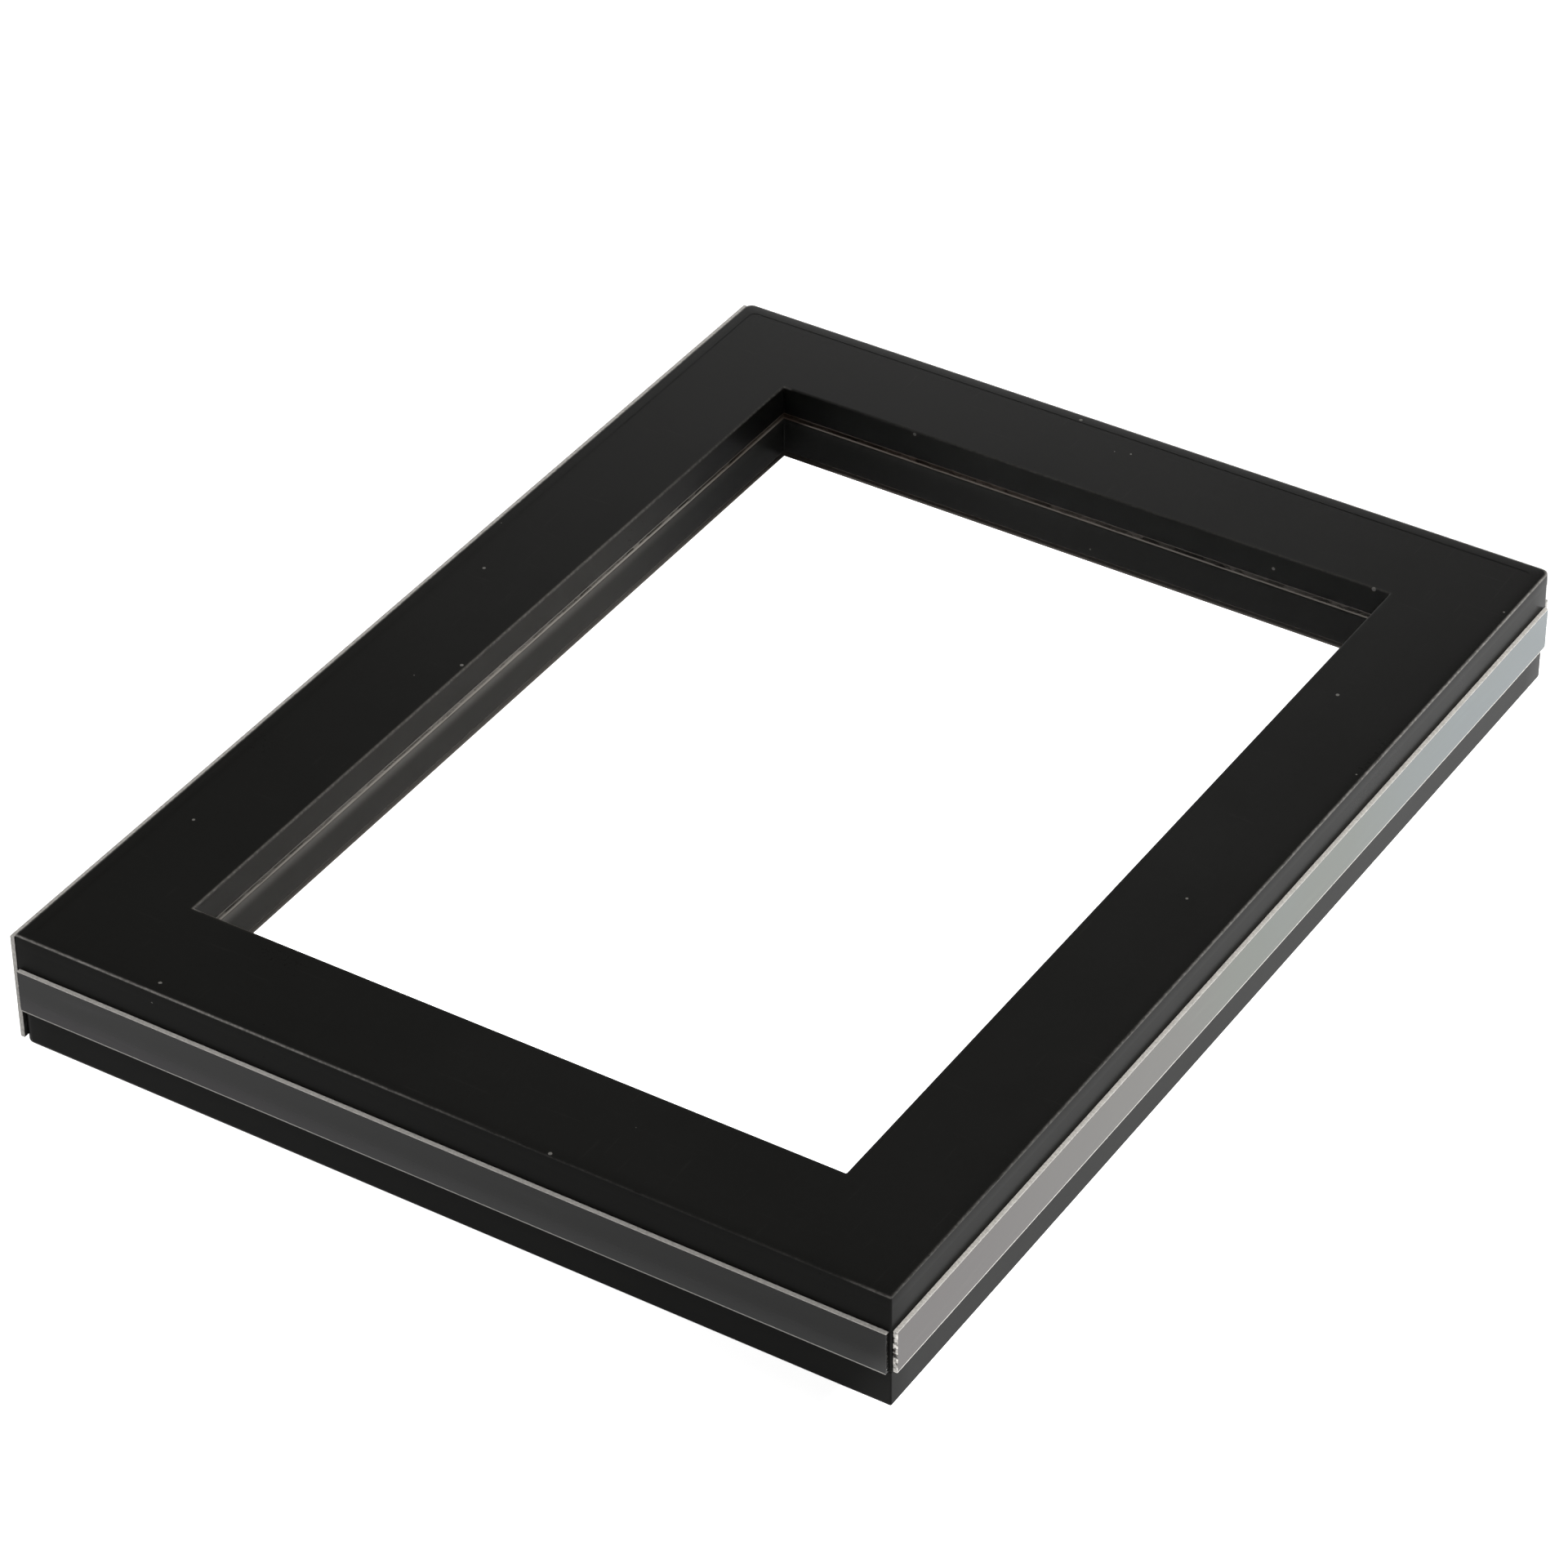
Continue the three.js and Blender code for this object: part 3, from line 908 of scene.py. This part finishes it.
class FLOATINGFRAME_OT_rear_frame(FrameOperator):
    """Builds the black rear layer with its countersunk screw holes"""

    bl_idname = "floating_frame.rear_frame"
    bl_label = "Rear Frame"

    def execute(self, context):
        looks = self.looks(context)
        soft = looks.rear_radius
        radii = (soft, soft, soft, looks.crisp_radius)
        piece = frame_layer(
            "rear_frame_body", "rear_frame", looks.rear_rail_width, looks, radii=radii
        )
        bored(piece, [screw_tool(f"rear_screw_{i + 1}") for i in range(SCREW_COUNT)])
        material = black_plastic("rear_black", looks, 0.02)
        fit_out(piece, material, BASE, "rear_frame")
        return {"FINISHED"}


SCREW_HEAD_GAP = 0.125 * MM
SCREW_SHANK_RADIUS = 1.375 * MM
SCREW_CONE_HEIGHT = 1.5 * MM
SCREW_BORE_TOP = 7.2 * MM
SCREW_BORE_BELOW = 0.6 * MM


def screw_tool(node):
    """A countersink: a cylinder up to the head's rim, then a cone down to the shank."""
    low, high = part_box(node)
    centre = ((low.x + high.x) / 2, (low.y + high.y) / 2, 0)
    head = (high.x - low.x) / 2 + SCREW_HEAD_GAP
    outline = np.array([
        (head, -SCREW_BORE_BELOW), (head, low.z),
        (SCREW_SHANK_RADIUS, low.z + SCREW_CONE_HEIGHT), (SCREW_SHANK_RADIUS, SCREW_BORE_TOP),
    ])
    return turned_piece("screw_bore", outline, centre)


class FLOATINGFRAME_OT_retaining_ring(FrameOperator):
    """Builds the thin ring that holds the rear pane in"""

    bl_idname = "floating_frame.retaining_ring"
    bl_label = "Retaining Ring"

    def execute(self, context):
        looks = self.looks(context)
        low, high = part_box("rear_retaining_ring")
        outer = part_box("rear_frame")[1]
        width = high.x - (outer.x - looks.rail_width) - RING_LAP
        profile = layer_profile(width, low.z, high.z, looks.edge_radius)
        points = inset_loops(profile, high.x, high.y, looks.window_radius)
        faces = grid_faces(len(profile), points.shape[1], wrap_rows=True)
        wear = edge_nearness(profile, low.z, high.z, width)
        wear = np.broadcast_to(wear[:, None], points.shape[:2])
        piece = surface_object("retaining_ring_body", points, faces, values={"wear": wear})
        material = black_plastic("ring_black", looks, 0.08, 0.6)
        fit_out(piece, material, BASE, "rear_retaining_ring")
        return {"FINISHED"}


class FLOATINGFRAME_OT_panes(FrameOperator):
    """Builds the two clear panes"""

    bl_idname = "floating_frame.panes"
    bl_label = "Clear Panes"

    def execute(self, context):
        looks = self.looks(context)
        rows = (
            ("front_pane", FRONT, looks.tape_and_glow_colour, 1.0),
            ("rear_pane", BASE, looks.tape_and_glow_colour, 0.22),
        )
        for node, body, tape, glow in rows:
            low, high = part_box(node)
            centre = np.array(low + high) / 2
            size = np.array(high - low)

            piece = slab(
                f"{node}_sheet", size, 0.1 * MM, lambda p, c=centre: p + c, side_steps=12
            )
            fit_out(piece, clear_pane(node, looks, tape, glow), body, node)
        return {"FINISHED"}


class FLOATINGFRAME_OT_edge_strips(FrameOperator):
    """Builds the clear strips on the near, far and right sides"""

    bl_idname = "floating_frame.edge_strips"
    bl_label = "Edge Strips"

    def execute(self, context):
        looks = self.looks(context)
        dusk = [(0.0, (0.68, 0.6, 0.68)), (0.5, (0.66, 0.66, 0.68)), (1.0, (0.64, 0.65, 0.66))]
        dawn = [
            (0.0, (0.74, 0.6, 0.56)), (0.3, (0.74, 0.7, 0.58)), (0.6, (0.6, 0.74, 0.54)),
            (1.0, (0.5, 0.72, 0.8)),
        ]
        # Each strip's milkiness and the brightness of its cut edges and ends are painted light:
        # higher on the right strip, lower on the near and far ones.
        rows = (
            ("edge_strip_near", 0, -1, StripLookAndLight(dusk, 0.0, 0.0, 0.022, 0.5, 0.32, 0.0)),
            ("edge_strip_far", 0, 1, StripLookAndLight(dusk, 0.01, 0.0, 0.03, 0.5, 0.3, 0.5)),
            ("edge_strip_right", 1, 1, StripLookAndLight(dawn, 0.05, 0.05, 0.0, 0.95, 0.8, 1.0)),
        )
        for index, (node, along, side, strip_look_and_light) in enumerate(rows):
            piece = edge_strip(node, along, side, looks, seed=20 + index)
            material = clear_strip(node, along, strip_look_and_light, looks)
            fit_out(piece, material, BASE, node)
        return {"FINISHED"}


class StripLookAndLight(typing.NamedTuple):
    """How a strip looks and is lit: the tints that drift along it, its milkiness and the extra
    milkiness at its far end and low down, which are painted light, and how bright its top and bottom
    cut edges and its ends are, which is painted highlight."""

    tints: list
    haze_and_painted_light: float
    far_painted_light: float
    low_painted_light: float
    top_edge: float
    bottom_edge: float
    ends: float


def edge_strip(node, along, side, looks, seed):
    """A clear strip that stands on a side of the core, with a thin film of air behind it.

    Local a runs along the strip, b up it and t outwards. The ends are ragged: they draw back by
    strip_rag times the size of a ripple along b, fading to nothing 1 mm from the end. The far
    end of the right strip also stops short of the corner.
    """
    low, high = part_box(node)
    size = np.array(high - low)
    centre = np.array(low + high) / 2
    across = 1 - along
    sizes = (size[along], size[2], size[across] - looks.strip_air)
    shift = side * looks.strip_air / 2
    half_a = sizes[0] / 2

    def place(local):
        points = np.empty_like(local)
        points[..., along] = centre[along] + local[..., 0]
        points[..., 2] = centre[2] + local[..., 1]
        points[..., across] = centre[across] + shift + side * local[..., 2]
        return points

    def rag(local):
        height = local[..., 1:2]
        jag = ripple(height, 2.4 * MM, seed) + 0.6 * ripple(height, 0.7 * MM, seed + 1)
        end = np.clip((np.abs(local[..., 0]) - (half_a - 1.0 * MM)) / (1.0 * MM), 0, 1)
        moved = np.zeros_like(local)
        moved[..., 0] = -np.sign(local[..., 0]) * looks.strip_rag * end * np.abs(jag)
        if along == 1:
            moved[..., 0] -= np.clip(local[..., 0] / half_a, 0, 1) * looks.strip_short
        return moved

    return slab(f"{node}_clear", sizes, 0.07 * MM, place, rag=rag, side_steps=60)


class FLOATINGFRAME_OT_hinge(FrameOperator):
    """Builds the clear hinge: two leaves, and the thin web between them"""

    bl_idname = "floating_frame.hinge"
    bl_label = "Clear Hinge"

    def execute(self, context):
        looks = self.looks(context)
        material = milky_hinge("hinge_clear", looks)
        for node, body, line_side in (
            ("front_hinge_leaf", FRONT, -1), ("rear_hinge_leaf", BASE, 1),
        ):
            piece = hinge_leaf(node, line_side, looks)
            fit_out(piece, material, body, node)
        web = hinge_web(looks)
        web.data.materials.append(material)
        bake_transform(web)
        return {"FINISHED"}


def hinge_leaf(node, line_side, looks):
    """A hinge leaf: its cross-section (a flat bar with a step that seats the web beside the hinge
    line) carried along the leaf. line_side is +1 if the hinge line is at the leaf's top."""
    low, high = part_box(node)
    step = looks.hinge_web
    reach = looks.hinge_reach
    depth = high.x - low.x - looks.strip_air
    if line_side > 0:
        corners = [
            (0, low.z), (0, high.z - reach), (step, high.z - reach), (step, high.z),
            (depth, high.z), (depth, low.z),
        ]
    else:
        corners = [
            (0, low.z + reach), (0, high.z), (depth, high.z), (depth, low.z),
            (step, low.z), (step, low.z + reach),
        ]
    near_end = low.y - looks.hinge_near_end
    return long_bar(f"{node}_clear", corners, 0.06 * MM, low.x, near_end, high.y)


def hinge_web(looks):
    """The flexing web: a thin flat strip along the hinge line, on the leaves' outer side."""
    low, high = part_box("front_hinge_leaf")
    reach = looks.hinge_reach - 0.04 * MM
    line = low.z
    corners = [
        (0, line - reach), (0, line + reach), (looks.hinge_web, line + reach),
        (looks.hinge_web, line - reach),
    ]
    near_end = low.y - looks.hinge_near_end
    return long_bar("hinge_web", corners, 0.03 * MM, low.x, near_end, high.y, rows=11)


def long_bar(name, corners, edge, x_start, y_low, y_high, rows=0):
    """A bar of constant cross-section along Y: the outline's (d, z) points are at x_start + d.
    Stations along the bar are even, and the ends are closed by flat faces."""
    outline = rounded_outline(corners, edge, steps=4, support=(0.005 * MM, 0.01 * MM))
    if rows:
        outline = resampled(outline, rows)
    stations = np.linspace(y_low, y_high, 25)
    columns = len(outline)
    points = np.empty((len(stations), columns, 3))
    points[..., 0] = x_start + outline[:, 0][None, :]
    points[..., 1] = stations[:, None]
    points[..., 2] = outline[:, 1][None, :]
    faces = grid_faces(len(stations), columns, wrap_rows=False)
    last = (len(stations) - 1) * columns
    caps = [list(range(columns))[::-1], list(range(last, last + columns))]
    return surface_object(name, points, faces, caps)


def resampled(outline, rows):
    """The same closed outline with each long side cut into equal steps."""
    after = np.roll(outline, -1, axis=0)
    k = np.linspace(0, 1, rows, endpoint=False)[None, :, None]
    fine = outline[:, None] * (1 - k) + after[:, None] * k
    long_side = np.linalg.norm(after - outline, axis=1) > 0.2 * MM
    keep = np.zeros((len(outline), rows), bool)
    keep[:, 0] = True
    keep[long_side] = True
    return fine[keep]


MAGNET_EDGE = 0.2 * MM


def disc_outline(radius, half, edge):
    """A disc's outline with quarter-round edges: at angle t the lower one's point is
    (radius - edge + edge sin t, -half + edge - edge cos t), and the upper one mirrors it."""
    t = np.linspace(0, np.pi / 2, 5)
    bottom = np.stack([radius - edge + edge * np.sin(t), -half + edge - edge * np.cos(t)], -1)
    return np.concatenate([bottom, bottom[::-1] * [1, -1]])


class FLOATINGFRAME_OT_magnets(FrameOperator):
    """Builds the disc magnets of the core and the front"""

    bl_idname = "floating_frame.magnets"
    bl_label = "Magnets"

    def execute(self, context):
        looks = self.looks(context)
        material = plated_metal("nickel_plate", looks.nickel_colour, 0.16)
        for corner in CORNERS:
            for layer, body in (("core", BASE), ("front", FRONT)):
                node = f"{layer}_magnet_{corner}"
                low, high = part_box(node)
                outline = disc_outline((high.x - low.x) / 2, (high.z - low.z) / 2, MAGNET_EDGE)
                piece = turned_piece(f"{node}_disc", outline, (low + high) / 2)
                fit_out(piece, material, body, node)
        return {"FINISHED"}


class FLOATINGFRAME_OT_screws(FrameOperator):
    """Gives the rear screws their dark plating"""

    bl_idname = "floating_frame.screws"
    bl_label = "Rear Screws"

    def execute(self, context):
        looks = self.looks(context)
        material = plated_metal("dark_zinc", looks.zinc_colour, 0.3)
        for index in range(SCREW_COUNT):
            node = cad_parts[f"rear_screw_{index + 1}"]
            node.data.materials.clear()
            node.data.materials.append(material)
        return {"FINISHED"}


# ---------------------------------------------------------------- stage


CAMERA_AIM = (-0.00557, 0.00065, 0.0100)
CAMERA_AZIMUTH = 32.52
CAMERA_ELEVATION = 37.26
CAMERA_DISTANCE = 0.9071
CAMERA_ROLL = -0.574
CAMERA_LENS = 135.76


class FLOATINGFRAME_OT_stage(FrameOperator):
    """Lays the floor, hangs the lights and sets the camera"""

    bl_idname = "floating_frame.stage"
    bl_label = "Stage"

    def execute(self, context):
        looks = self.looks(context)
        lay_floor(looks)
        light_studio(context.scene)
        set_camera(context.scene)
        return {"FINISHED"}


FLOOR_HALF = 3.0
FLOOR_DROP = 0.02 * MM


def lay_floor(looks):
    """A flat square floor, a hair below the frame's underside."""
    corners = [(x * FLOOR_HALF, y * FLOOR_HALF, 0) for x, y in ((-1, -1), (1, -1), (1, 1), (-1, 1))]
    mesh = bpy.data.meshes.new("floor")
    mesh.from_pydata(corners, [], [(0, 1, 2, 3)])
    mesh.materials.append(studio_floor(looks))
    floor = bpy.data.objects.new("floor", mesh)
    floor.location.z = -FLOOR_DROP
    bpy.context.scene.collection.objects.link(floor)


def light_studio(scene):
    """A dim even room, a soft light overhead, one low behind and a small one front left. A row is
    a lamp's name, place, size in metres, power in watts and colour."""
    world = bpy.data.worlds.new("studio")
    world.use_nodes = True
    back = world.node_tree.nodes["Background"]
    back.inputs["Color"].default_value = (1.0, 1.0, 1.0, 1)
    back.inputs["Strength"].default_value = 0.2
    scene.world = world
    rows = (
        ("overhead", (0.35, 0.45, 1.25), (0.7, 0.7), 13.0, (1.0, 0.99, 0.97)),
        ("behind", (-0.63, 1.22, 0.5), (0.5, 0.5), 3.9, (1.0, 1.0, 1.0)),
        ("front_left", (-0.68, -0.4, 1.0), (0.3, 0.3), 11.0, (1.0, 1.0, 1.0)),
    )
    for name, place, size, power, tone in rows:
        data = bpy.data.lights.new(name, "AREA")
        data.shape = "RECTANGLE"
        data.size, data.size_y = size
        data.energy = power
        data.color = tone
        lamp = bpy.data.objects.new(name, data)
        lamp.location = place
        lamp.rotation_mode = "QUATERNION"
        lamp.rotation_quaternion = (-Vector(place)).to_track_quat("-Z", "Y")
        scene.collection.objects.link(lamp)


def set_camera(scene):
    """Places the camera by its aim, azimuth, elevation, distance and roll, in metres and degrees."""
    azimuth, elevation = math.radians(CAMERA_AZIMUTH), math.radians(CAMERA_ELEVATION)
    back = Vector((
        math.sin(azimuth) * math.cos(elevation),
        -math.cos(azimuth) * math.cos(elevation),
        math.sin(elevation),
    ))
    data = bpy.data.cameras.new("camera")
    data.lens = CAMERA_LENS
    data.sensor_width = 36.0
    data.clip_start, data.clip_end = 0.01, 20.0
    camera = bpy.data.objects.new("camera", data)
    roll = Matrix.Rotation(math.radians(CAMERA_ROLL), 3, "Z")
    turn = (-back).to_track_quat("-Z", "Y").to_matrix() @ roll
    place = Vector(CAMERA_AIM) + back * CAMERA_DISTANCE
    camera.matrix_world = Matrix.Translation(place) @ turn.to_4x4()
    scene.collection.objects.link(camera)
    scene.camera = camera
    scene.view_settings.view_transform = "Standard"


# ---------------------------------------------------------------- panel and registration


STEPS = (
    FLOATINGFRAME_OT_stage,
    FLOATINGFRAME_OT_front_frame,
    FLOATINGFRAME_OT_core_frame,
    FLOATINGFRAME_OT_rear_frame,
    FLOATINGFRAME_OT_retaining_ring,
    FLOATINGFRAME_OT_panes,
    FLOATINGFRAME_OT_edge_strips,
    FLOATINGFRAME_OT_hinge,
    FLOATINGFRAME_OT_magnets,
    FLOATINGFRAME_OT_screws,
)


class FLOATINGFRAME_PT_panel(bpy.types.Panel):
    """The frame's sizes and colours, and a button for each of its pieces"""

    bl_idname = "FLOATINGFRAME_PT_panel"
    bl_label = "Floating Frame"
    bl_space_type = "VIEW_3D"
    bl_region_type = "UI"
    bl_category = "Floating Frame"

    def draw(self, context):
        looks = context.scene.floating_frame
        for name in FrameLooks.__annotations__:
            self.layout.prop(looks, name)
        for step in STEPS:
            self.layout.operator(step.bl_idname)


def register():
    """Adds the properties, the steps and the panel to Blender."""
    bpy.utils.register_class(FrameLooks)
    bpy.types.Scene.floating_frame = bpy.props.PointerProperty(type=FrameLooks)
    for step in STEPS:
        bpy.utils.register_class(step)
    bpy.utils.register_class(FLOATINGFRAME_PT_panel)


def unregister():
    """Takes away what register() added, the last first."""
    bpy.utils.unregister_class(FLOATINGFRAME_PT_panel)
    for step in reversed(STEPS):
        bpy.utils.unregister_class(step)
    del bpy.types.Scene.floating_frame
    bpy.utils.unregister_class(FrameLooks)


def main():
    """Builds the frame by running every step in turn."""
    register()
    for step in STEPS:
        group, name = step.bl_idname.split(".")
        getattr(getattr(bpy.ops, group), name)()
    bpy.context.view_layer.update()


if __name__ == "__main__":
    main()
